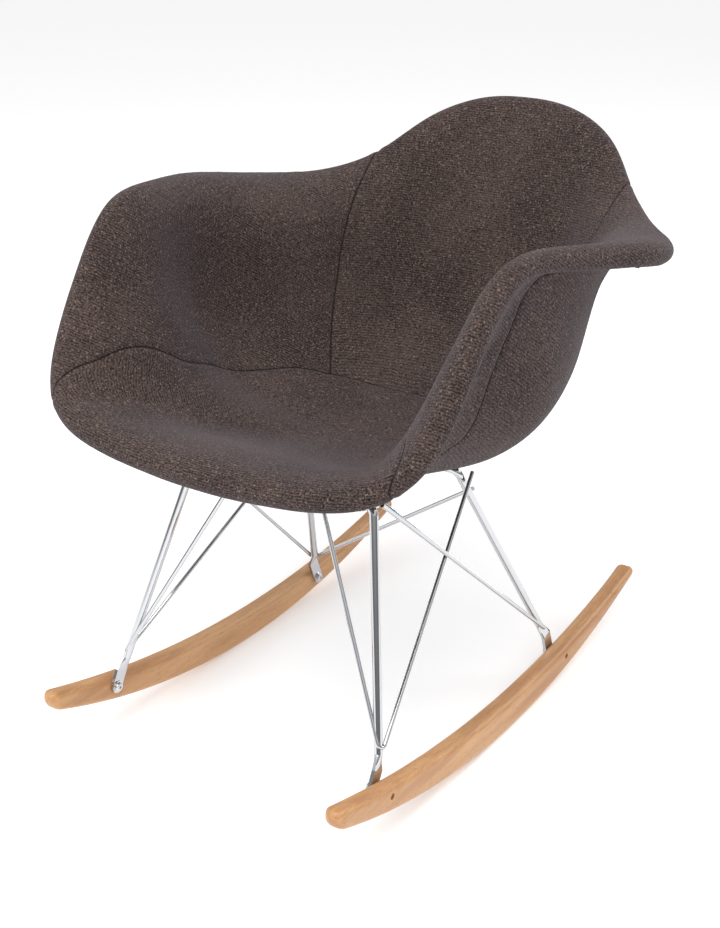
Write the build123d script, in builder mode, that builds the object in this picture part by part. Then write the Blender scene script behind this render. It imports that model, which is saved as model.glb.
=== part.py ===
"""Upholstered bucket armchair on a wire base with two wooden rockers.

Millimetres. +Z is up and the sitter faces -Y. The floor is Z = 0, and X = 0 is the plane of symmetry.
The dimensions here count Y from the line where the rockers touch the floor when the chair stands still.
The saved parts are moved back by depth_shift, so that their origin is under the middle of the whole depth.
"""

import os
from math import cos, radians, sin, sqrt

from build123d import *

# ---------------------------------------------------------------- driving dimensions
depth_shift = 5.28
# Bucket: the middle surface of the padded shell, half of it, from the front centre
# round the right side to the centre of the back. The seat is a Bezier bowl: each rib
# runs from the seat's lowest point, along the floor, up the wall and out to the rim.
seat_low_y = -30.0
seat_low_z = 325.0
rim_points = [
    (0, -318, 389),
    (95, -317, 393),
    (182, -306, 408),
    (228, -271, 447),
    (241, -215, 526),
    (248, -150, 592),
    (266, -68, 596),
    (294, 16, 585),
    (301, 90, 573),
    (262, 162, 564),
    (216, 225, 565),
    (168, 279, 587),
    (124, 320, 625),
    (63, 343, 652),
    (0, 348, 658),
]
floor_reach = [(0, -160), (114, -161), (201, -138), (335, -42), (324, 108), (198, 219), (113, 271), (0, 275)]
wall_pull = [
    (0, -246, 400),
    (131, -239, 403),
    (175, -181, 485),
    (207, -66, 585),
    (153, 20, 604),
    (139, 140, 537),
    (99, 241, 498),
    (0, 265, 481),
]

pad_half = 13.5  # half of the whole padded thickness
inner_cover_thick = 2.0
layer_gap = 0.3
shell_top = -5.0  # layer heights, measured from the middle surface towards the sitter
shell_bottom = -9.5
outer_cover_top = -9.8
outer_cover_end = 0.95  # where the outer cover meets the inner one, along each rib
inner_cover_end = 0.955  # the inner cover comes back over the rim to here
hub = 0.05  # the ribs start on this small ring round the seat's lowest point

# Seams of the inner cover, in plan, right half.
seat_seam = [(0, 92), (62, 84), (108, 63), (147, 31), (180, -55)]
seat_seam += [(170, -140), (192, -234), (214, -290), (216, -360)]
back_seam = [(108, 63), (152, 140), (175, 255), (190, 420)]

# Rockers
rocker_outer = 205.0  # half of the spacing over the two rockers
rocker_thick = 23.6
rocker_bottom_radius = 950.0
rocker_top_radius = 1366.0
rocker_top_low = (32.0, 37.1)  # Y and Z of the lowest point of the top edge
rocker_front_end = -372.0
rocker_rear_end = 330.0
rocker_edge_round = 7.5
most_round = 0.47  # the largest corner radius, as a share of the section's width or height
front_dome = 12.0  # length of the domed ends
rear_dome = 8.0
dome_steps = [0.004, 0.03, 0.1, 0.25, 0.45, 0.7, 1.0]
rocker_stations = 35
plan_end_round = 9.0  # the ends' corners, seen from above
front_bolt = (-276.0, 61.4)  # Y and Z
rear_bolt = (129.5, 28.4)

# Wire base: centre lines of the right side
leg_radius = 4.75
wire_radius = 2.5
front_leg_foot = (176.0, -259.2, 93.0)
front_leg_top_x = 120.0
rear_leg_foot = (171.8, 112.6, 72.0)
rear_leg_top_x = 109.5
elbow_radius = 10.0
cross_rod_half = 100.0
tab_thick = 4.0
tab_width = 16.0
flattened = 16.0  # length over which the rod is hammered flat
brace_bend = 5.0
front_brace_low = (181.0, -262.6, 93.0)
front_brace_middle_end = (55.0, -189.3, 333.0)  # beside the front cross rod
front_brace_side_end = (121.0, 22.0, 300.0)  # outside the rear leg
rear_brace_low = (179.6, 120.8, 62.0)
rear_brace_side_end = (127.0, -179.0, 337.0)  # outside the front leg
rear_brace_cross_end = (-118.5, 28.8, 276.0)  # behind the opposite rear leg

# Shock mounts: X and Y on the right side, and how far the moulded boss stands down
front_mount_xy = (88.0, -160.0)
rear_mount_xy = (56.0, -17.5)
front_boss_drop = 1.9
rear_boss_drop = 3.3
boss_radius = 18.0
boss_root = 2.6  # the boss starts this deep inside the shell wall
rubber_radius = 17.0
rubber_height = 14.0
insert_radius = 6.5
insert_height = 11.0
plate_thick = 2.5
plate_width = 36.0
rod_offset = 22.5  # from the mount's centre to the cross rod
cover_hole_radius = 22.0

# Fasteners
screw_radius = 3.0
screw_length = 15.0
screw_head_radius = 5.5
screw_head_height = 3.0
hex_socket = 1.9
washer_radius = 7.5
washer_thick = 1.0
screw_hole_radius = 3.3
thread_radius = 3.1
rocker_insert_radius = 5.0
rocker_insert_length = 15.0
rocker_hole_radius = 3.6

os.makedirs("parts", exist_ok=True)


# ---------------------------------------------------------------- helpers
def whole_ring(half):
    """Close a half ring of points with its mirror image."""
    return half + [(-p[0], *p[1:]) for p in reversed(half[1:-1])]


def with_midpoints(ring):
    """Put one smooth point between each two points of a closed ring."""
    count = len(ring)
    out = []
    for i in range(count):
        a, b, c, d = (ring[(i + k) % count] for k in (-1, 0, 1, 2))
        out.append(b)
        out.append(tuple((9 * (q + r) - p - s) / 16 for p, q, r, s in zip(a, b, c, d)))
    return out


rim_ring = [Vector(*p) for p in whole_ring(rim_points)]
floor_ring = [Vector(x, y, seat_low_z) for x, y in with_midpoints(whole_ring(floor_reach))]
wall_ring = [Vector(*p) for p in with_midpoints(whole_ring(wall_pull))]
seat_low = Vector(0, seat_low_y, seat_low_z)
rib_count = len(rim_ring)


def bowl_point(rib, s):
    """The point at s (0 seat, 1 rim) along one rib of the middle surface."""
    a, b, c = floor_ring[rib], wall_ring[rib], rim_ring[rib]
    return seat_low * (1 - s) ** 3 + a * (3 * s * (1 - s) ** 2) + b * (3 * s * s * (1 - s)) + c * s**3


def bowl_outward(rib, s):
    """The direction along the rib, towards the rim."""
    step = 0.01
    return (bowl_point(rib, s) - bowl_point(rib, s - step)).normalized()


def bowl_normal(rib, s):
    """The direction square to the middle surface, towards the sitter."""
    along = bowl_point((rib + 1) % rib_count, s) - bowl_point(rib - 1, s)
    return bowl_outward(rib, s).cross(along).normalized()


def ring_at(s, height):
    """A closed ring of the bowl at s, offset towards the sitter by height."""
    points = [bowl_point(rib, s) + bowl_normal(rib, s) * height for rib in range(rib_count)]
    if s == hub:
        points = [Vector(p.X, p.Y, seat_low_z + height) for p in points]
    return points


def roll_at(angle, radius):
    """A closed ring on the rounded rim; 90 degrees is the sitter's side and -90 the outside."""
    points = []
    for rib in range(rib_count):
        normal = bowl_normal(rib, 1)
        along = rim_ring[(rib + 1) % rib_count] - rim_ring[rib - 1]
        outward = along.cross(normal).normalized()
        turned = outward * cos(radians(angle)) + normal * sin(radians(angle))
        points.append(rim_ring[rib] + turned * radius)
    return points


def closed_wire(points):
    with BuildLine() as ring:
        Spline(*points, periodic=True)
    return ring.wires()[0]


def bowl_solid(rings):
    """A solid through rings that run out along one face of a layer and back along the other."""
    return Solid.make_loft([closed_wire(points) for points in rings], True)


def steps(first, last, count):
    return [first + (last - first) * i / (count - 1) for i in range(count)]


def plan_zone(outline):
    """A tall prism over a closed plan outline of straight and smooth stretches."""
    with BuildPart() as zone:
        with BuildSketch(Plane.XY.offset(200)):
            with BuildLine():
                outline()
            make_face()
        extrude(amount=600)
    return zone.part


def save(name, block):
    placed = block.part.moved(Location((0, depth_shift, 0)))
    placed.label = name
    export_step(placed, f"parts/{name}.step")


sides = {"left": -1, "right": 1}

# ---------------------------------------------------------------- bucket layers
rib_steps = steps(hub, 1.0, 14)

shell_rings = [ring_at(s, shell_top) for s in rib_steps]
shell_rings += [ring_at(s, shell_bottom) for s in reversed(rib_steps)]
bare_shell = bowl_solid(shell_rings)


def boss_plane(x, y, drop):
    """The boss face under the shell at X, Y: its X axis is level and its Z axis points down."""
    point, normal = bare_shell.find_intersection_points(Axis((x, y, 0), (0, 0, 1)))[0]
    slope = normal.Y / normal.Z
    return Plane(point, x_dir=(1, 0, 0), z_dir=(0, -slope, -1)).offset(drop)


def mirrored(plane):
    """The same plane on the left side."""
    o = plane.origin
    return Plane((-o.X, o.Y, o.Z), x_dir=(1, 0, 0), z_dir=plane.z_dir)


front_plane = boss_plane(*front_mount_xy, front_boss_drop)
rear_plane = boss_plane(*rear_mount_xy, rear_boss_drop)
mount_planes = {
    "front_right": front_plane,
    "front_left": mirrored(front_plane),
    "rear_right": rear_plane,
    "rear_left": mirrored(rear_plane),
}
boss_drops = {"front": front_boss_drop, "rear": rear_boss_drop}

with BuildPart() as seat_shell:
    add(bare_shell)
    for place, plane in mount_planes.items():
        with BuildSketch(plane):
            Circle(boss_radius)
        extrude(amount=-boss_drops[place.split("_")[0]] - boss_root)
save("seat_shell", seat_shell)

foam_inner = pad_half - inner_cover_thick - layer_gap
foam_bottom = shell_top + layer_gap
foam_rings = [ring_at(s, foam_inner) for s in rib_steps]
foam_rings += [roll_at(a, foam_inner) for a in (60, 30, 0)]
foam_rings += [roll_at(-10, 6.0)]
foam_rings += [ring_at(s, foam_bottom) for s in reversed(rib_steps)]
with BuildPart() as foam_pad:
    add(bowl_solid(foam_rings))
save("foam_pad", foam_pad)

cover_inside = pad_half - inner_cover_thick
cover_rings = [ring_at(s, pad_half) for s in rib_steps]
cover_rings += [roll_at(a, pad_half) for a in (60, 30, 0, -30, -60, -90)]
cover_rings += [ring_at(inner_cover_end, -pad_half), ring_at(inner_cover_end, -cover_inside)]
cover_rings += [roll_at(a, cover_inside) for a in (-90, -60, -30, 0, 30, 60)]
cover_rings += [ring_at(s, cover_inside) for s in reversed(rib_steps)]
inner_cover = bowl_solid(cover_rings)

far = 420.0  # plan outlines run out to here, past the bucket


def seat_outline():
    Spline(*seat_seam)
    Spline(*[(-x, y) for x, y in seat_seam])
    Line((seat_seam[-1]), (-seat_seam[-1][0], seat_seam[-1][1]))


def back_outline():
    for sign in sides.values():
        Spline(*[(sign * x, y) for x, y in back_seam])
    Line((-back_seam[0][0], back_seam[0][1]), back_seam[0])
    Line((-back_seam[-1][0], back_seam[-1][1]), back_seam[-1])


def half_outline(sign):
    Polyline((0, -far), (sign * far, -far), (sign * far, far), (0, far), close=True)


seat_zone = plan_zone(seat_outline)
back_zone = plan_zone(back_outline) - seat_zone
with BuildPart() as seat_panel:
    add(inner_cover & seat_zone)
save("seat_panel_cover", seat_panel)
with BuildPart() as back_panel:
    add(inner_cover & back_zone)
save("back_cover", back_panel)
arm_band = inner_cover - seat_zone - back_zone
for side, sign in sides.items():
    with BuildPart() as arm_panel:
        add(arm_band & plan_zone(lambda: half_outline(sign)))
    save(f"{side}_arm_cover", arm_panel)

outer_steps = steps(hub, outer_cover_end, 13)
outer_rings = [ring_at(s, outer_cover_top) for s in outer_steps]
outer_rings += [ring_at(s, -pad_half) for s in reversed(outer_steps)]
with BuildPart() as outer_cover:
    add(bowl_solid(outer_rings))
    for plane in mount_planes.values():
        with BuildSketch(plane):
            Circle(cover_hole_radius)
        extrude(amount=12, both=True, mode=Mode.SUBTRACT)
save("outer_cover", outer_cover)


# ---------------------------------------------------------------- shock mounts and their plates
for place, plane in mount_planes.items():
    with BuildPart() as rubber:
        with BuildSketch(plane):
            Circle(rubber_radius)
        extrude(amount=rubber_height)
        with BuildSketch(plane.offset(rubber_height)):
            Circle(insert_radius)
        extrude(amount=-insert_height, mode=Mode.SUBTRACT)
        fillet(rubber.edges().filter_by(GeomType.CIRCLE).group_by(SortBy.RADIUS)[-1], 1.5)
    save(f"{place}_shock_mount", rubber)

with BuildPart() as inserts:
    for plane in mount_planes.values():
        with BuildSketch(plane.offset(rubber_height)):
            Circle(insert_radius)
            Circle(thread_radius, mode=Mode.SUBTRACT)
        extrude(amount=-insert_height)
save("shock_mount_inserts", inserts)

for place, plane in mount_planes.items():
    toward_rod = 1 if place.startswith("front") else -1
    reach = rod_offset + leg_radius
    with BuildPart() as plate:
        with BuildSketch(plane.offset(rubber_height)):
            with Locations((0, toward_rod * (reach - rubber_radius) / 2)):
                RectangleRounded(plate_width, reach + rubber_radius, 6)
            Circle(screw_hole_radius, mode=Mode.SUBTRACT)
        extrude(amount=plate_thick)
    save(f"{place}_mount_plate", plate)


def pan_head_screws(name, planes, length):
    """Screws whose heads sit on the given planes and whose shanks run down their Z axes."""
    with BuildPart() as screws:
        for plane in planes:
            with BuildSketch(plane):
                Circle(screw_radius)
            extrude(amount=length)
            with BuildSketch(plane):
                Circle(screw_head_radius)
            head = extrude(amount=-screw_head_height)
            fillet(head.edges().filter_by(GeomType.CIRCLE).sort_by(Axis(plane.origin, plane.z_dir))[0], 2.0)
            with BuildSketch(plane.offset(-screw_head_height)):
                RegularPolygon(hex_socket, 6)
            extrude(amount=screw_head_height - 1, mode=Mode.SUBTRACT)
    save(name, screws)


def washers(name, planes):
    """Flat washers that stand on the given planes, against their Z axes."""
    with BuildPart() as rings:
        for plane in planes:
            with BuildSketch(plane):
                Circle(washer_radius)
                Circle(screw_hole_radius, mode=Mode.SUBTRACT)
            extrude(amount=-washer_thick)
    save(name, rings)


def facing_back(plane, distance):
    """The plane moved out by distance and turned to look back."""
    moved = plane.offset(distance)
    return Plane(moved.origin, x_dir=moved.x_dir, z_dir=moved.z_dir * -1)


plate_undersides = [facing_back(plane, rubber_height + plate_thick) for plane in mount_planes.values()]
washers("mount_screw_washers", plate_undersides)
pan_head_screws("mount_screws", [plane.offset(-washer_thick) for plane in plate_undersides], screw_length - 3)

# ---------------------------------------------------------------- wire base
rod_depth = rubber_height - leg_radius
front_rod = front_plane.from_local_coords(Vector(0, rod_offset, rod_depth))
rear_rod = rear_plane.from_local_coords(Vector(0, -rod_offset, rod_depth))
rocker_inner = rocker_outer - rocker_thick


def rod(path_points, bend, radius):
    """A round rod along straight stretches joined by bends."""
    with BuildPart() as bar:
        with BuildLine() as path:
            FilletPolyline(*path_points, radius=bend)
        with BuildSketch(Plane(path_points[0], z_dir=path.line % 0)):
            Circle(radius)
        sweep(path=path.line)
    return bar.part


def save_both_sides(prefix, suffix, right_part):
    """Save a right-hand part, and its mirror image as the left-hand one."""
    with BuildPart() as right_one:
        add(right_part)
    save(f"{prefix}right{suffix}", right_one)
    with BuildPart() as left_one:
        mirror(right_part, about=Plane.YZ)
    save(f"{prefix}left{suffix}", left_one)


def right_leg(foot, top_x, rod_axis, bolt):
    top = (top_x, rod_axis.Y, rod_axis.Z)
    cross_end = (cross_rod_half, rod_axis.Y, rod_axis.Z)
    along = Vector(0, bolt[0] - foot[1], bolt[1] - foot[2])
    flat_start = Vector(rocker_inner - tab_thick / 2, foot[1], foot[2]) + along.normalized() * flattened
    with BuildPart() as leg:
        add(rod([foot, top, cross_end], elbow_radius, leg_radius))
        with BuildSketch(Plane(foot, x_dir=(1, 0, 0), z_dir=along)):
            Circle(leg_radius)
        with BuildSketch(Plane(tuple(flat_start), x_dir=(1, 0, 0), z_dir=along)):
            Rectangle(tab_thick, tab_width)
        loft()
        face = Plane((rocker_inner, flat_start.Y, flat_start.Z), x_dir=along, z_dir=(-1, 0, 0))
        tail = Vector(0, bolt[0] - flat_start.Y, bolt[1] - flat_start.Z).length
        with BuildSketch(face):
            with Locations((tail / 2, 0)):
                Rectangle(tail, tab_width)
            with Locations((tail, 0)):
                Circle(tab_width / 2)
                Circle(screw_hole_radius, mode=Mode.SUBTRACT)
        extrude(amount=tab_thick)
    return leg.part


save_both_sides("front_", "_leg", right_leg(front_leg_foot, front_leg_top_x, front_rod, front_bolt))
save_both_sides("rear_", "_leg", right_leg(rear_leg_foot, rear_leg_top_x, rear_rod, rear_bolt))

front_brace = rod([front_brace_middle_end, front_brace_low, front_brace_side_end], brace_bend, wire_radius)
rear_brace = rod([rear_brace_cross_end, rear_brace_low, rear_brace_side_end], brace_bend, wire_radius)
save_both_sides("front_", "_brace_wire", front_brace)
save_both_sides("rear_", "_brace_wire", rear_brace)

for end, axis in (("front", front_rod), ("rear", rear_rod)):
    with BuildPart() as cross_rod:
        with BuildSketch(Plane((-cross_rod_half, axis.Y, axis.Z), z_dir=(1, 0, 0))):
            Circle(leg_radius)
        extrude(amount=2 * cross_rod_half)
    save(f"{end}_cross_rod", cross_rod)


# ---------------------------------------------------------------- rockers
def bottom_edge(y):
    return rocker_bottom_radius - sqrt(rocker_bottom_radius**2 - y * y)


def top_edge(y):
    low_y, low_z = rocker_top_low
    return low_z + rocker_top_radius - sqrt(rocker_top_radius**2 - (y - low_y) ** 2)


def rocker_section(y, share):
    """The rounded cross-section of the right rocker at Y, shrunk to a share of its size."""
    width = rocker_thick * share
    height = (top_edge(y) - bottom_edge(y)) * share
    middle = Vector(rocker_outer - rocker_thick / 2, y, (top_edge(y) + bottom_edge(y)) / 2)
    with BuildSketch(Plane(middle, x_dir=(1, 0, 0), z_dir=(0, 1, 0))) as section:
        RectangleRounded(width, height, min(rocker_edge_round, most_round * height, most_round * width))
    return section.sketch.wires()[0]


def dome_share(t):
    """The share of the full section at t along a domed end, from 0 at its tip to 1."""
    return sqrt(1 - (1 - t) ** 2)


front_full = rocker_front_end + front_dome
rear_full = rocker_rear_end - rear_dome
stations = [(rocker_front_end + front_dome * t, dome_share(t)) for t in dome_steps]
stations += [(y, 1) for y in steps(front_full, rear_full, rocker_stations)[1:-1]]
stations += [(rocker_rear_end - rear_dome * t, dome_share(t)) for t in reversed(dome_steps)]

with BuildPart() as right_rocker:
    add(Solid.make_loft([rocker_section(y, share) for y, share in stations], True))
    for y, z in (front_bolt, rear_bolt):
        with BuildSketch(Plane((rocker_outer, y, z), z_dir=(-1, 0, 0))):
            Circle(rocker_hole_radius)
        extrude(amount=rocker_thick, mode=Mode.SUBTRACT)
        with BuildSketch(Plane((rocker_inner, y, z), z_dir=(1, 0, 0))):
            Circle(rocker_insert_radius)
        extrude(amount=rocker_insert_length, mode=Mode.SUBTRACT)
save_both_sides("", "_rocker", right_rocker.part)

inner_planes = []
for sign in sides.values():
    for y, z in (front_bolt, rear_bolt):
        inner_planes.append(Plane((sign * rocker_inner, y, z), x_dir=(0, 1, 0), z_dir=(sign, 0, 0)))

with BuildPart() as rocker_inserts:
    for plane in inner_planes:
        with BuildSketch(plane):
            Circle(rocker_insert_radius)
            Circle(thread_radius, mode=Mode.SUBTRACT)
        extrude(amount=rocker_insert_length)
save("rocker_inserts", rocker_inserts)
tab_planes = [plane.offset(-tab_thick) for plane in inner_planes]
washers("rocker_screw_washers", tab_planes)
pan_head_screws("rocker_screws", [plane.offset(-washer_thick) for plane in tab_planes], screw_length + 2)
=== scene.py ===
"""Looks of the upholstered rocking armchair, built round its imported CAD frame. Metres, +Z up."""

from math import cos, radians, sin

import bpy
import numpy as np
from mathutils import Matrix, Vector, noise


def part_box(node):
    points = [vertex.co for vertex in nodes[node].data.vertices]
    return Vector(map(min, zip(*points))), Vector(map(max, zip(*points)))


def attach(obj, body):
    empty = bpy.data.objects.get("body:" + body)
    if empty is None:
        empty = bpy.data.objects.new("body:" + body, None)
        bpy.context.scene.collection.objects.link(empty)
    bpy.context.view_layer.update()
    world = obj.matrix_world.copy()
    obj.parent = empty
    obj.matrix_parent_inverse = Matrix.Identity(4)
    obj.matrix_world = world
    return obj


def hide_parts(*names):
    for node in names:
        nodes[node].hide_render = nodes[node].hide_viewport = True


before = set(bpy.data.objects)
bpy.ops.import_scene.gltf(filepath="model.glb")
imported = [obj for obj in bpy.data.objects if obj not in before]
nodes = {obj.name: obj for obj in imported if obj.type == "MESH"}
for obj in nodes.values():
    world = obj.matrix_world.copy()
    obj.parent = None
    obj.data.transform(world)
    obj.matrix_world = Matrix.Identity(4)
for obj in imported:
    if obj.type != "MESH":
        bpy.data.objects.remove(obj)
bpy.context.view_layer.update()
MM = 0.001

# ---------------------------------------------------------------- camera, floor and light
DEPTH_SHIFT = 5.28  # the bucket's Y values count from the line where the rockers touch the floor
CAMERA_AT = (0.8759, -1.3374 + DEPTH_SHIFT * MM, 0.9813)
CAMERA_AZIMUTH = 33.849
CAMERA_ELEVATION = 23.421
camera_data = bpy.data.cameras.new("camera")
camera_data.sensor_fit = "VERTICAL"
camera_data.sensor_height = 24
camera_data.lens = 37.83
camera = bpy.data.objects.new("camera", camera_data)
camera.matrix_world = (
    Matrix.Translation(CAMERA_AT)
    @ Matrix.Rotation(radians(CAMERA_AZIMUTH), 4, "Z")
    @ Matrix.Rotation(radians(90 - CAMERA_ELEVATION), 4, "X")
)
bpy.context.scene.collection.objects.link(camera)
bpy.context.scene.camera = camera


def soft_light(name, place, aim, size, power):
    """A square softbox at place that faces aim."""
    data = bpy.data.lights.new(name, "AREA")
    data.size = size
    data.energy = power
    lamp = bpy.data.objects.new(name, data)
    lamp.location = place
    lamp.rotation_euler = (Vector(aim) - Vector(place)).to_track_quat("-Z", "Y").to_euler()
    bpy.context.scene.collection.objects.link(lamp)


soft_light("key_light", (0.3, -1.5, 2.6), (0, 0, 0.3), 1.8, 52)
soft_light("fill_light", (-2.4, -1.6, 1.5), (0, 0, 0.35), 1.6, 16)
soft_light("rim_light", (1.6, 2.2, 2.2), (0, 0, 0.45), 1.4, 30)
bpy.context.scene.view_settings.view_transform = "Standard"

world = bpy.data.worlds.new("studio")
world.use_nodes = True
studio = world.node_tree
sky = studio.nodes.new("ShaderNodeTexCoord")
height = studio.nodes.new("ShaderNodeSeparateXYZ")
walls = studio.nodes.new("ShaderNodeValToRGB")
# From below the horizon to straight up: pale floor, dark far wall, white ceiling.
WALL_TONES = [(0.0, 0.95), (0.47, 0.95), (0.505, 0.22), (0.60, 0.32), (0.72, 0.90), (1.0, 1.0)]
walls.color_ramp.elements.remove(walls.color_ramp.elements[1])
for place, tone in WALL_TONES:
    stop = walls.color_ramp.elements.new(place) if place else walls.color_ramp.elements[0]
    stop.color = (tone, tone, tone * 1.01, 1)
half = studio.nodes.new("ShaderNodeMath")
half.operation = "MULTIPLY_ADD"
half.inputs[1].default_value = 0.5
half.inputs[2].default_value = 0.5
studio.links.new(sky.outputs["Generated"], height.inputs[0])
studio.links.new(height.outputs["Z"], half.inputs[0])
studio.links.new(half.outputs[0], walls.inputs[0])
# What is seen directly is plain and pale, and only the lighting and reflections have the dark wall.
seen = studio.nodes.new("ShaderNodeLightPath")
backdrop = studio.nodes.new("ShaderNodeMix")
backdrop.data_type = "RGBA"
backdrop.inputs[7].default_value = (1.05, 1.05, 1.05, 1)
studio.links.new(seen.outputs["Is Camera Ray"], backdrop.inputs[0])
studio.links.new(walls.outputs[0], backdrop.inputs[6])
studio.links.new(backdrop.outputs[2], studio.nodes["Background"].inputs["Color"])
studio.nodes["Background"].inputs["Strength"].default_value = 0.85
bpy.context.scene.world = world


# ---------------------------------------------------------------- materials
ROW_PITCH = 0.0030


class Shader:
    """A material with a short way to add and join nodes."""

    def __init__(self, name, **uniform):
        self.material = bpy.data.materials.new(name)
        self.material.use_nodes = True
        self.tree = self.material.node_tree
        self.surface = self.tree.nodes["Principled BSDF"]
        for socket, value in uniform.items():
            self.surface.inputs[socket.replace("_", " ")].default_value = value

    def add(self, kind, settings=None, **inputs):
        node = self.tree.nodes.new(kind)
        for key, value in (settings or {}).items():
            setattr(node, key, value)
        for key, value in inputs.items():
            self.feed(node.inputs[int(key[1:])] if key[0] == "i" else node.inputs[key.replace("_", " ")], value)
        return node

    def feed(self, socket, value):
        if isinstance(value, bpy.types.NodeSocket):
            self.tree.links.new(value, socket)
        else:
            socket.default_value = value

    def math(self, operation, a, b=0.0, clamp=False):
        return self.add("ShaderNodeMath", {"operation": operation, "use_clamp": clamp}, i0=a, i1=b).outputs[0]

    def mix(self, factor, a, b, blend="MIX"):
        node = self.add("ShaderNodeMix", {"data_type": "RGBA", "blend_type": blend})
        for index, value in ((0, factor), (6, a), (7, b)):
            self.feed(node.inputs[index], value)
        return node.outputs[2]

    def spread(self, value, low, high, to_low=0.0, to_high=1.0):
        """Maps low..high smoothly to to_low..to_high."""
        settings = {"interpolation_type": "SMOOTHSTEP"}
        return self.add("ShaderNodeMapRange", settings, i0=value, i1=low, i2=high, i3=to_low, i4=to_high).outputs[0]

    def place(self, scale=(1, 1, 1), rotation=(0, 0, 0)):
        coordinates = self.add("ShaderNodeTexCoord").outputs["Object"]
        return self.add("ShaderNodeMapping", Vector=coordinates, Scale=scale, Rotation=rotation).outputs[0]

    def noise(self, vector, scale, detail=2.0, roughness=0.5):
        return self.add("ShaderNodeTexNoise", Vector=vector, Scale=scale, Detail=detail, Roughness=roughness).outputs[0]

    def bump(self, height, strength, distance, under=None):
        node = self.add("ShaderNodeBump", Height=height, Strength=strength, Distance=distance)
        if under is not None:
            self.feed(node.inputs["Normal"], under)
        return node.outputs[0]


def tweed():
    """Woven wool: rows of yarn that follow the cut of each panel, with light and dark flecks."""
    m = Shader("tweed", Roughness=0.92, Specular_IOR_Level=0.12, Sheen_Weight=0.13, Sheen_Roughness=0.5)
    m.surface.inputs["Sheen Tint"].default_value = (0.62, 0.64, 0.78, 1)
    rows = m.add("ShaderNodeAttribute", {"attribute_name": "rows"}).outputs["Fac"]
    seam = m.add("ShaderNodeAttribute", {"attribute_name": "seam"}).outputs["Fac"]
    place = m.place()
    wobble = m.noise(place, 160, 2)
    phase = m.math("ADD", m.math("MULTIPLY", rows, 2 * 3.14159 / ROW_PITCH), m.math("MULTIPLY", wobble, 7.0))
    ribs = m.math("MULTIPLY_ADD", m.math("SINE", phase), 0.5)
    m.feed(ribs.node.inputs[2], 0.5)
    yarn = m.noise(place, 430, 3, 0.7)
    fleck = m.noise(place, 480, 1, 0.5)
    cloud = m.noise(place, 11, 3)
    tone = m.math("ADD", m.math("MULTIPLY", ribs, 0.15), m.math("MULTIPLY", yarn, 0.9))
    tone = m.math("ADD", tone, m.math("MULTIPLY", cloud, 0.22))
    tone = m.spread(tone, 0.44, 0.82)
    colour = m.mix(tone, (0.019, 0.0135, 0.0125, 1), (0.096, 0.068, 0.060, 1))
    colour = m.mix(m.spread(fleck, 0.60, 0.74), colour, (0.20, 0.145, 0.115, 1))
    colour = m.mix(m.spread(fleck, 0.40, 0.28), colour, (0.010, 0.008, 0.009, 1))
    # Painted shade: the cloth's colour is darkened along every seam, where shade falls into the seam's groove.
    dark = m.spread(seam, 0.0003, 0.0018)
    colour = m.mix(dark, m.mix(1.0, colour, (0.30, 0.28, 0.28, 1), "MULTIPLY"), colour)
    m.feed(m.surface.inputs["Base Color"], colour)
    weave = m.math("ADD", m.math("MULTIPLY", ribs, 0.22), m.math("MULTIPLY", yarn, 0.9))
    normal = m.bump(weave, 0.5, 0.0007)
    normal = m.bump(m.spread(seam, 0.0, 0.0015), 0.7, 0.0008, normal)
    m.feed(m.surface.inputs["Normal"], normal)
    return m.material


def beech():
    """Clear-lacquered beech with long grain along the rocker and short dark pores."""
    m = Shader("beech", Coat_Weight=0.18, Coat_Roughness=0.25)
    grain = m.noise(m.place((60, 5.5, 60)), 1.0, 4, 0.55)
    fine = m.noise(m.place((420, 16, 420)), 1.0, 3, 0.6)
    pores = m.noise(m.place((800, 90, 800)), 1.0, 1, 0.5)
    broad = m.noise(m.place((14, 2.2, 14)), 1.0, 2)
    tone = m.math("ADD", m.math("MULTIPLY", grain, 0.55), m.math("MULTIPLY", fine, 0.3))
    tone = m.spread(m.math("ADD", tone, m.math("MULTIPLY", broad, 0.35)), 0.46, 0.76)
    colour = m.mix(tone, (0.44, 0.205, 0.075, 1), (0.63, 0.345, 0.150, 1))
    colour = m.mix(m.spread(pores, 0.62, 0.74, 0.0, 0.6), colour, (0.33, 0.145, 0.055, 1))
    m.feed(m.surface.inputs["Base Color"], colour)
    m.feed(m.surface.inputs["Roughness"], m.spread(fine, 0.3, 0.7, 0.36, 0.52))
    m.feed(m.surface.inputs["Normal"], m.bump(fine, 0.12, 0.0004))
    return m.material


def metal(name, colour, rough_low, rough_high, scratch):
    """Bare or plated metal with a slightly uneven polish."""
    m = Shader(name, Metallic=1.0)
    cloud = m.noise(m.place(), 38, 3)
    m.feed(m.surface.inputs["Base Color"], m.mix(cloud, (*[c * 0.93 for c in colour], 1), (*colour, 1)))
    m.feed(m.surface.inputs["Roughness"], m.spread(cloud, 0.3, 0.7, rough_low, rough_high))
    m.feed(m.surface.inputs["Normal"], m.bump(m.noise(m.place(), 900, 1), scratch, 0.0001))
    return m.material


def moulded(name, dark, light, rough, grain_scale, depth):
    """Moulded plastic, rubber or foam: an even colour with a fine grain."""
    m = Shader(name, Roughness=rough)
    grain = m.noise(m.place(), grain_scale, 3)
    m.feed(m.surface.inputs["Base Color"], m.mix(grain, (*dark, 1), (*light, 1)))
    m.feed(m.surface.inputs["Normal"], m.bump(grain, 0.4, depth))
    return m.material


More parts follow.
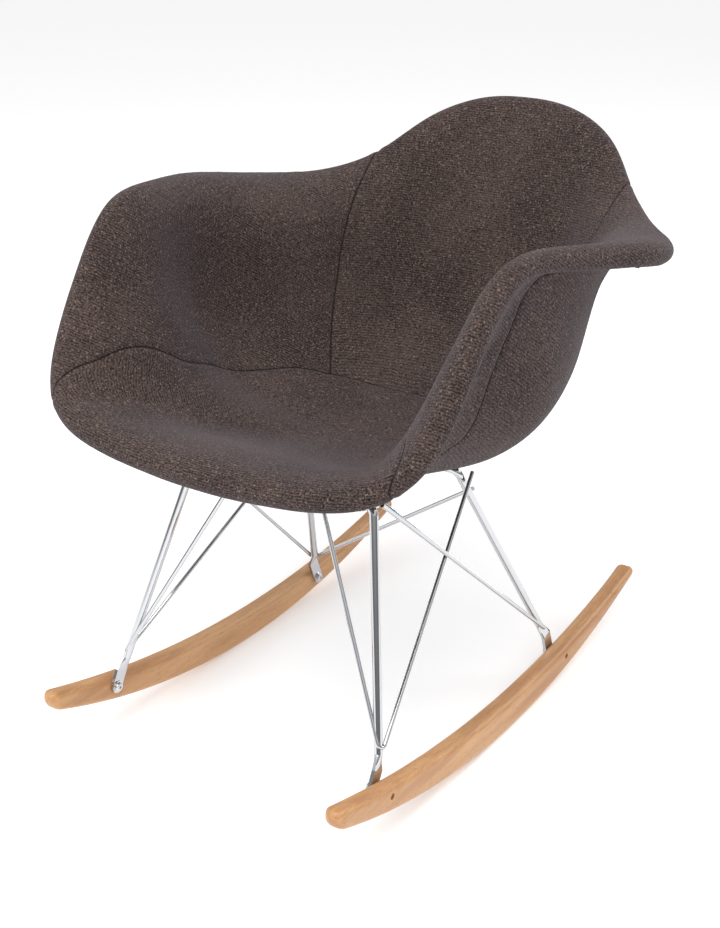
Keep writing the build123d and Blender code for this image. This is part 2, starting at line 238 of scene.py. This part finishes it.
tweed_cloth = tweed()
beech_wood = beech()
chrome = metal("chrome", (0.60, 0.61, 0.63), 0.05, 0.11, 0.02)
screw_steel = metal("screw_steel", (0.66, 0.66, 0.67), 0.22, 0.34, 0.12)
insert_steel = metal("insert_steel", (0.50, 0.48, 0.44), 0.30, 0.42, 0.15)
black_rubber = moulded("black_rubber", (0.016, 0.016, 0.017), (0.030, 0.030, 0.031), 0.62, 700, 0.0003)
shell_plastic = moulded("shell_plastic", (0.045, 0.045, 0.046), (0.060, 0.060, 0.061), 0.5, 500, 0.0002)
foam_cells = moulded("foam_cells", (0.52, 0.48, 0.36), (0.66, 0.62, 0.50), 0.9, 1100, 0.0006)

# ---------------------------------------------------------------- the bucket's shape, in millimetres
SEAT_LOW = np.array((0, -30.0, 325.0))
RIM = [
    (0, -318, 389),
    (95, -317, 393),
    (182, -306, 408),
    (228, -271, 447),
    (241, -215, 526),
    (248, -150, 592),
    (266, -68, 596),
    (294, 16, 585),
    (301, 90, 573),
    (262, 162, 564),
    (216, 225, 565),
    (168, 279, 587),
    (124, 320, 625),
    (63, 343, 652),
    (0, 348, 658),
]
FLOOR_REACH = [(0, -160), (114, -161), (201, -138), (335, -42), (324, 108), (198, 219), (113, 271), (0, 275)]
WALL_PULL = [
    (0, -246, 400),
    (131, -239, 403),
    (175, -181, 485),
    (207, -66, 585),
    (153, 20, 604),
    (139, 140, 537),
    (99, 241, 498),
    (0, 265, 481),
]
SEAT_SEAM = [(0, 92), (62, 84), (108, 63), (147, 31), (180, -55), (170, -140), (192, -234), (214, -290), (216, -360)]
BACK_SEAM = [(108, 63), (152, 140), (175, 255), (190, 420)]
# Where the inner and outer covers meet: rib number, and how far along the rib on the outside.
RIM_SEAM = [(0, 0.60), (2, 0.55), (3, 0.50), (4, 0.46), (4.5, 0.47), (4.62, 0.52), (4.75, 0.64), (4.92, 0.72)]
RIM_SEAM += [(5.1, 0.78), (5.3, 0.87), (5.6, 0.95), (6, 0.975), (7, 1.0), (14, 1.0)]

PAD_HALF = 13.5
CLOTH_THICK = 2.0
FOAM_BOTTOM = -4.7
COVER_HOLE = 22.0
RIBS = 28
AROUND = RIBS * 20
TOP_ROWS = 150
ROLL_ROWS = 18
OUTER_ROWS = 84
ROLL_IN_ROWS = 0.1  # what the rounded rim counts for where the outer rows count from 0 to 1
GRID_SKIP = 5  # the cloth is simulated on every fifth row and column


def whole_ring(half):
    return half + [(-p[0], *p[1:]) for p in reversed(half[1:-1])]


def with_midpoints(ring):
    count = len(ring)
    out = []
    for i in range(count):
        a, b, c, d = (ring[(i + k) % count] for k in (-1, 0, 1, 2))
        out.append(b)
        out.append(tuple((9 * (q + r) - p - s) / 16 for p, q, r, s in zip(a, b, c, d)))
    return out


rim_ring = np.array(whole_ring(RIM), float)
floor_ring = np.array([(x, y, SEAT_LOW[2]) for x, y in with_midpoints(whole_ring(FLOOR_REACH))])
wall_ring = np.array(with_midpoints(whole_ring(WALL_PULL)), float)


def ring_spline():
    """The matrix that turns one value per rib into values all round, by a smooth closed curve."""
    eye = np.eye(RIBS)
    after, before = np.roll(eye, 1, 1), np.roll(eye, -1, 1)
    bend = np.linalg.solve(4 * eye + after + before, 6 * (after - 2 * eye + before))
    t = np.arange(AROUND) * RIBS / AROUND
    i = np.floor(t).astype(int)
    j = (i + 1) % RIBS
    u = (t - i)[:, None]
    return (1 - u) * eye[i] + u * eye[j] + ((1 - u) ** 3 - (1 - u)) * bend[i] / 6 + (u**3 - u) * bend[j] / 6


SPLINE = ring_spline()
RIB_AT = np.arange(AROUND) * RIBS / AROUND
RIB_AT = np.minimum(RIB_AT, RIBS - RIB_AT)


def unit(v):
    return v / np.linalg.norm(v, axis=-1, keepdims=True)


def bowl(s):
    """The ribs of the padded shell's middle surface at s, from 0 at the seat's lowest point to 1 at the rim."""
    return SEAT_LOW * (1 - s) ** 3 + floor_ring * (3 * s * (1 - s) ** 2) + wall_ring * (3 * s * s * (1 - s)) + rim_ring * s**3


def bowl_normal(s):
    """The directions towards the sitter at s."""
    outward = bowl(s) - bowl(s - 0.01)
    normal = unit(np.cross(outward, np.roll(bowl(s), -1, 0) - np.roll(bowl(s), 1, 0)))
    level = min(1.0, s / 0.15)
    return unit(normal * level + np.array((0, 0, 1.0)) * (1 - level))


def ring_at(s, height):
    return SPLINE @ (bowl(s) + bowl_normal(s) * height)


def roll_at(angle, radius):
    """A ring on the rounded rim: 90 degrees is the sitter's side and -90 the outside."""
    normal = bowl_normal(1.0)
    along = np.roll(rim_ring, -1, 0) - np.roll(rim_ring, 1, 0)
    outward = unit(np.cross(along, normal))
    turned = outward * cos(radians(angle)) + normal * sin(radians(angle))
    return SPLINE @ (rim_ring + turned * radius)


top_steps = np.linspace(0.004, 1.0, TOP_ROWS)
roll_angles = np.linspace(90, -90, ROLL_ROWS + 2)[1:-1]
outer_steps = np.linspace(1.0, 0.004, OUTER_ROWS)
grid = [ring_at(s, PAD_HALF) for s in top_steps]
grid += [roll_at(a, PAD_HALF) for a in roll_angles]
grid += [ring_at(s, -PAD_HALF) for s in outer_steps]
grid = np.array(grid) + (0, DEPTH_SHIFT, 0)
ROWS = len(grid)
# How far along the outside each row lies; the sitter's side only has to be well past the seam.
outside_at = np.concatenate([np.full(TOP_ROWS, 1 + 2 * ROLL_IN_ROWS), 1 + (roll_angles + 90) / 180 * ROLL_IN_ROWS, outer_steps])


def grid_gradient(values):
    """How fast the values change along the surface, per millimetre."""
    down = np.gradient(values, axis=0)
    across = (np.roll(values, -1, 1) - np.roll(values, 1, 1)) / 2
    p_down = np.gradient(grid, axis=0)
    p_across = (np.roll(grid, -1, 1) - np.roll(grid, 1, 1)) / 2
    e = (p_down**2).sum(-1)
    g = (p_across**2).sum(-1)
    f = (p_down * p_across).sum(-1)
    return np.sqrt(np.maximum((g * down**2 - 2 * f * down * across + e * across**2) / (e * g - f * f + 1e-9), 1e-12))


def smooth_line(points, count=40):
    """An open smooth curve through plan points, as many short straight pieces."""
    pts = np.array(points, float)
    ends = np.vstack([2 * pts[0] - pts[1], pts, 2 * pts[-1] - pts[-2]])
    u = np.linspace(0, 1, count, endpoint=False)[:, None]
    out = []
    for a, b, c, d in zip(ends, ends[1:], ends[2:], ends[3:]):
        out.append(0.5 * (2 * b + (c - a) * u + (2 * a - 5 * b + 4 * c - d) * u**2 + (3 * b - a - 3 * c + d) * u**3))
    return np.vstack(out + [pts[-1:]])


def inside(points, outline):
    """Whether each plan point lies inside the closed outline."""
    x, y = points[:, 0], points[:, 1]
    hit = np.zeros(len(points), bool)
    for (x0, y0), (x1, y1) in zip(outline, np.roll(outline, -1, 0)):
        if y0 != y1:
            hit ^= ((y0 > y) != (y1 > y)) & (x < (x1 - x0) * (y - y0) / (y1 - y0) + x0)
    return hit


def plan_distance(seam, closing):
    """Signed plan distance of every grid point to a seam; positive on the side of the closing points."""
    line = smooth_line(seam)
    points = np.column_stack([np.abs(grid[..., 0]).ravel(), grid[..., 1].ravel() - DEPTH_SHIFT])
    best = np.full(len(points), 1e9)
    for a, b in zip(line[:-1], line[1:]):
        ab = b - a
        u = np.clip((points - a) @ ab / (ab @ ab), 0, 1)[:, None]
        best = np.minimum(best, ((points - a - u * ab) ** 2).sum(1))
    sign = np.where(inside(points, np.vstack([line, closing])), 1.0, -1.0)
    return (np.sqrt(best) * sign).reshape(grid.shape[:2])


MIDDLE = -80.0  # plan outlines close past the middle plane
seat_distance = plan_distance(SEAT_SEAM, [(MIDDLE, -360), (MIDDLE, 92)])
back_distance = plan_distance(BACK_SEAM, [(MIDDLE, 420), (MIDDLE, 63)])
rim_seam_at = np.interp(RIB_AT, *zip(*RIM_SEAM))
for _ in range(3):
    rim_seam_at = (np.roll(rim_seam_at, 1) + 2 * rim_seam_at + np.roll(rim_seam_at, -1)) / 4
rim_distance = (outside_at[:, None] - rim_seam_at[None, :]) * 400
FAR = 60.0
signed = {}
for key, values in (("rim", rim_distance), ("seat", seat_distance), ("back", back_distance)):
    signed[key] = np.clip(values / np.maximum(grid_gradient(values), 0.05), -FAR, FAR)


def nearest_seam(rim, seat, back):
    """The distance to the nearest seam that a point's own panel has."""
    cover = np.where(seat >= 0, np.abs(seat), np.minimum(np.abs(seat), np.abs(back)))
    return np.where(rim >= 0, np.minimum(np.abs(rim), cover), np.abs(rim))


def grid_faces(rows, columns):
    """Quads between the rows, and a fan of triangles at each pole."""
    i, j = np.meshgrid(np.arange(rows - 1), np.arange(columns), indexing="ij")
    k = (j + 1) % columns
    quads = np.stack([i * columns + j, (i + 1) * columns + j, (i + 1) * columns + k, i * columns + k], -1)
    faces = [tuple(q) for q in quads.reshape(-1, 4).tolist()]
    first, last = rows * columns, rows * columns + 1
    base = (rows - 1) * columns
    faces += [(first, c, (c + 1) % columns) for c in range(columns)]
    faces += [(last, base + (c + 1) % columns, base + c) for c in range(columns)]
    return faces


def with_poles(values):
    """The grid's values as one list, followed by those at the two poles."""
    flat = values.reshape(-1, *values.shape[2:])
    return np.concatenate([flat, values[0].mean(0)[None], values[-1].mean(0)[None]])


def new_mesh(name, points, faces):
    mesh = bpy.data.meshes.new(name)
    mesh.from_pydata((np.asarray(points) * MM).tolist(), [], faces)
    mesh.update()
    return mesh


def vertex_normals(points, faces):
    mesh = new_mesh("scratch", points, faces)
    out = np.empty(len(points) * 3, np.float32)
    mesh.vertex_normals.foreach_get("vector", out)
    bpy.data.meshes.remove(mesh)
    return out.reshape(-1, 3).astype(float)


# ---------------------------------------------------------------- padding: cloth pulled tight between the seams
SLACK = 1.0  # the pad starts this much smaller, and swells by up to PUFF
PUFF = 2.6
PIN_REACH = 7.0


def simulated_swell():
    """How far pressure pushes the cover out between its seams, in millimetres at each grid point."""
    rows = np.unique(np.append(np.arange(0, ROWS, GRID_SKIP), ROWS - 1))
    columns = np.arange(0, AROUND, GRID_SKIP)
    part = grid[np.ix_(rows, columns)]
    near = nearest_seam(*(signed[k][np.ix_(rows, columns)] for k in ("rim", "seat", "back")))
    points = with_poles(part)
    faces = grid_faces(len(rows), len(columns))
    rest_normals = vertex_normals(points, faces)
    cloth = bpy.data.objects.new("cloth", new_mesh("cloth", points, faces))
    bpy.context.scene.collection.objects.link(cloth)
    pins = cloth.vertex_groups.new(name="pins")
    pinned = np.nonzero(with_poles(near) < PIN_REACH)[0].tolist()
    pins.add(pinned, 1.0, "REPLACE")
    sim = cloth.modifiers.new("cloth", "CLOTH").settings
    sim.vertex_group_mass = "pins"
    sim.use_pressure = True
    sim.uniform_pressure_force = 4
    sim.effector_weights.gravity = 0
    for f in range(1, 21):
        bpy.context.scene.frame_set(f)
    done = cloth.evaluated_get(bpy.context.evaluated_depsgraph_get())
    moved = np.empty(len(points) * 3, np.float32)
    done.data.vertices.foreach_get("co", moved)
    out = ((moved.reshape(-1, 3) / MM - points) * rest_normals).sum(1)[:-2].reshape(len(rows), len(columns))
    bpy.context.scene.frame_set(1)
    bpy.data.objects.remove(cloth)
    out = np.clip(out, 0, PUFF)
    full = np.array([np.interp(np.arange(ROWS), rows, column) for column in out.T])
    wrap = np.append(columns, AROUND)
    return np.array([np.interp(np.arange(AROUND), wrap, np.append(row, row[0])) for row in full.T])


swell = simulated_swell()
for _ in range(6):
    swell = (np.roll(swell, 1, 1) + 2 * swell + np.roll(swell, -1, 1)) / 4
    swell[1:-1] = (swell[:-2] + 2 * swell[1:-1] + swell[2:]) / 4
swell -= SLACK
on_outside = outside_at[:, None] < rim_seam_at[None, :]
swell = np.where(on_outside, np.clip(swell, -1.0, 0.3), swell)

# ---------------------------------------------------------------- the yarn's rows on each panel
TILTED_ROWS = np.array((0, 0.6, 0.8))
LEVEL_ROWS = np.array((0, 0.2, 0.98))
yz = np.linalg.norm(np.diff(grid[..., 1:], axis=0, prepend=grid[:1, :, 1:]), axis=-1)
front_or_back = np.where(np.cos(np.arange(AROUND) * 2 * np.pi / AROUND) > 0, -1.0, 1.0)
seat_rows = np.cumsum(yz, axis=0) * front_or_back
rows_tilted = grid @ TILTED_ROWS
rows_level = grid @ LEVEL_ROWS

# ---------------------------------------------------------------- cut the whole cover into its panels
MOUNT_NAMES = ["front_left", "front_right", "rear_left", "rear_right"]


def hole_distance(points):
    """The distance of points on the outside to the nearest mount's edge; elsewhere far away."""
    best = np.full(points.shape[:-1], FAR)
    for name in MOUNT_NAMES:
        low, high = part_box(f"{name}_shock_mount")
        middle = (np.array(low) + np.array(high)) / 2 / MM
        best = np.minimum(best, np.linalg.norm(points[..., :2] - middle[:2], axis=-1) - COVER_HOLE)
    return best


hole = np.where(on_outside, hole_distance(grid), FAR)
table = np.stack([swell, signed["rim"], signed["seat"], signed["back"], hole, seat_rows, rows_tilted, rows_level], -1)
data = with_poles(np.concatenate([grid, table], -1))
SWELL, BY_RIM, BY_SEAT, BY_BACK, BY_HOLE, ROWS_SEAT, ROWS_TILTED, ROWS_LEVEL = range(3, 11)
all_faces = grid_faces(ROWS, AROUND)


def cut(faces, column):
    """Splits the faces along the line where a column of data is zero: (positive side, negative side)."""
    global data
    values = data[:, column]
    sides = ([], [])
    extra, made = [], {}
    for face in faces:
        signs = [values[v] >= 0 for v in face]
        if all(signs) or not any(signs):
            sides[0 if signs[0] else 1].append(face)
            continue
        parts = ([], [])
        for n, a in enumerate(face):
            b = face[(n + 1) % len(face)]
            parts[0 if values[a] >= 0 else 1].append(a)
            if (values[a] >= 0) != (values[b] >= 0):
                key = (min(a, b), max(a, b))
                if key not in made:
                    made[key] = len(data) + len(extra)
                    u = values[key[0]] / (values[key[0]] - values[key[1]])
                    extra.append(data[key[0]] * (1 - u) + data[key[1]] * u)
                parts[0].append(made[key])
                parts[1].append(made[key])
        for side, part in zip(sides, parts):
            side.append(tuple(part))
    if extra:
        data = np.vstack([data, extra])
        data[-len(extra):, column] = 0
    return sides


cover, outside = cut(all_faces, BY_RIM)
seat_faces, rest_faces = cut(cover, BY_SEAT)
back_faces, arm_faces = cut(rest_faces, BY_BACK)
outer_faces, _ = cut(outside, BY_HOLE)
right_arm_faces, left_arm_faces = cut(arm_faces, 0)

# ---------------------------------------------------------------- seams, puckers and the hand-made surface
SEAM_DEPTH = 1.3
SEAM_WIDTH = 2.4
SHOULDER = 0.35
PUCKER = 0.6
points = data[:, :3].copy()
every_face = seat_faces + back_faces + left_arm_faces + right_arm_faces + outside
rest_normals = vertex_normals(points, every_face)
seam_distance = nearest_seam(data[:, BY_RIM], data[:, BY_SEAT], data[:, BY_BACK])
lift = data[:, SWELL] - SEAM_DEPTH * np.exp(-((seam_distance / SEAM_WIDTH) ** 2))
lift += SHOULDER * np.exp(-(((seam_distance - 6) / 3) ** 2))
for v in np.nonzero(seam_distance < 18)[0]:
    lift[v] += PUCKER * noise.noise(Vector(points[v] / 9.0)) * np.exp(-((seam_distance[v] / 8) ** 2))
lift += [0.45 * noise.noise(Vector(p / 55.0)) for p in points]
points += rest_normals * lift[:, None]
smooth_normals = vertex_normals(points, every_face)


def cloth_panel(name, replaced, faces, rows_column):
    """A closed cloth panel: the smooth face, a parallel inner face, and walls along its edge."""
    used = np.unique(np.concatenate([np.array(f) for f in faces]))
    index = {v: n for n, v in enumerate(used.tolist())}
    count = len(used)
    top = [tuple(index[v] for v in f) for f in faces]
    edges = {}
    for f in top:
        for n, a in enumerate(f):
            edges[(a, f[(n + 1) % len(f)])] = True
    border = [(a, b) for a, b in edges if (b, a) not in edges]
    solid = top + [tuple(v + count for v in reversed(f)) for f in top]
    solid += [(b, a, a + count, b + count) for a, b in border]
    outer, normals = points[used], smooth_normals[used]
    mesh = new_mesh(name, np.vstack([outer, outer - normals * CLOTH_THICK]), solid)
    rows = mesh.attributes.new("rows", "FLOAT", "POINT")
    rows.data.foreach_set("value", np.tile(data[used, rows_column] * MM, 2).astype(np.float32))
    seam = mesh.attributes.new("seam", "FLOAT", "POINT")
    seam.data.foreach_set("value", np.tile(seam_distance[used] * MM, 2).astype(np.float32))
    mesh.shade_smooth()
    mesh.normals_split_custom_set_from_vertices(np.vstack([normals, -normals]).tolist())
    mesh.materials.append(tweed_cloth)
    piece = bpy.data.objects.new(name, mesh)
    bpy.context.scene.collection.objects.link(piece)
    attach(piece, "root")
    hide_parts(*replaced)


cloth_panel("seat_panel", ["seat_panel_cover"], seat_faces, ROWS_SEAT)
cloth_panel("back_panel", ["back_cover"], back_faces, ROWS_LEVEL)
cloth_panel("left_arm_panel", ["left_arm_cover"], left_arm_faces, ROWS_TILTED)
cloth_panel("right_arm_panel", ["right_arm_cover"], right_arm_faces, ROWS_TILTED)
cloth_panel("outer_panel", ["outer_cover"], outer_faces, ROWS_TILTED)


def foam_layer():
    """The foam between the shell and the cover, just under the cloth."""
    keep_rows = list(range(0, TOP_ROWS, 3)) + [TOP_ROWS - 1] + list(range(TOP_ROWS + 1, TOP_ROWS + ROLL_ROWS // 2, 2))
    columns = np.arange(0, AROUND, 4)
    depth = CLOTH_THICK + 0.5 - data[:, SWELL] + 2.2 * np.exp(-((seam_distance / 13) ** 2))
    under = data[:, :3] - rest_normals * depth[:, None]
    rings = [under[r * AROUND + columns] for r in keep_rows]
    rings += [ring_at(s, FOAM_BOTTOM)[columns] + (0, DEPTH_SHIFT, 0) for s in np.linspace(1.0, 0.004, 40)]
    shape = np.array(rings)
    mesh = new_mesh("foam_layer", with_poles(shape), grid_faces(len(rings), len(columns)))
    mesh.shade_smooth()
    mesh.materials.append(foam_cells)
    piece = bpy.data.objects.new("foam_layer", mesh)
    bpy.context.scene.collection.objects.link(piece)
    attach(piece, "root")
    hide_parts("foam_pad")


foam_layer()

# ---------------------------------------------------------------- better materials for the CAD nodes
for name, node in nodes.items():
    if name.endswith("_rocker"):
        finish = beech_wood
    elif name.endswith("_shock_mount"):
        finish = black_rubber
    elif name == "seat_shell":
        finish = shell_plastic
    elif "inserts" in name:
        finish = insert_steel
    elif "screw" in name:
        finish = screw_steel
    elif name.endswith(("_leg", "_wire", "_rod", "_plate")):
        finish = chrome
    else:
        continue
    node.data.materials.clear()
    node.data.materials.append(finish)

# ---------------------------------------------------------------- floor
floor_mesh = new_mesh("floor", np.array([(-1, -1, 0), (1, -1, 0), (1, 1, 0), (-1, 1, 0)]) * 40000.0, [(0, 1, 2, 3)])
floor = bpy.data.objects.new("floor", floor_mesh)
bpy.context.scene.collection.objects.link(floor)
floor_paint = Shader("floor_paint", Roughness=0.9, Specular_IOR_Level=0.1)
floor_paint.feed(floor_paint.surface.inputs["Base Color"], (0.93, 0.93, 0.93, 1))
floor_paint.feed(floor_paint.surface.inputs["Emission Color"], (1, 1, 1, 1))
floor_paint.feed(floor_paint.surface.inputs["Emission Strength"], 0.22)
floor_mesh.materials.append(floor_paint.material)
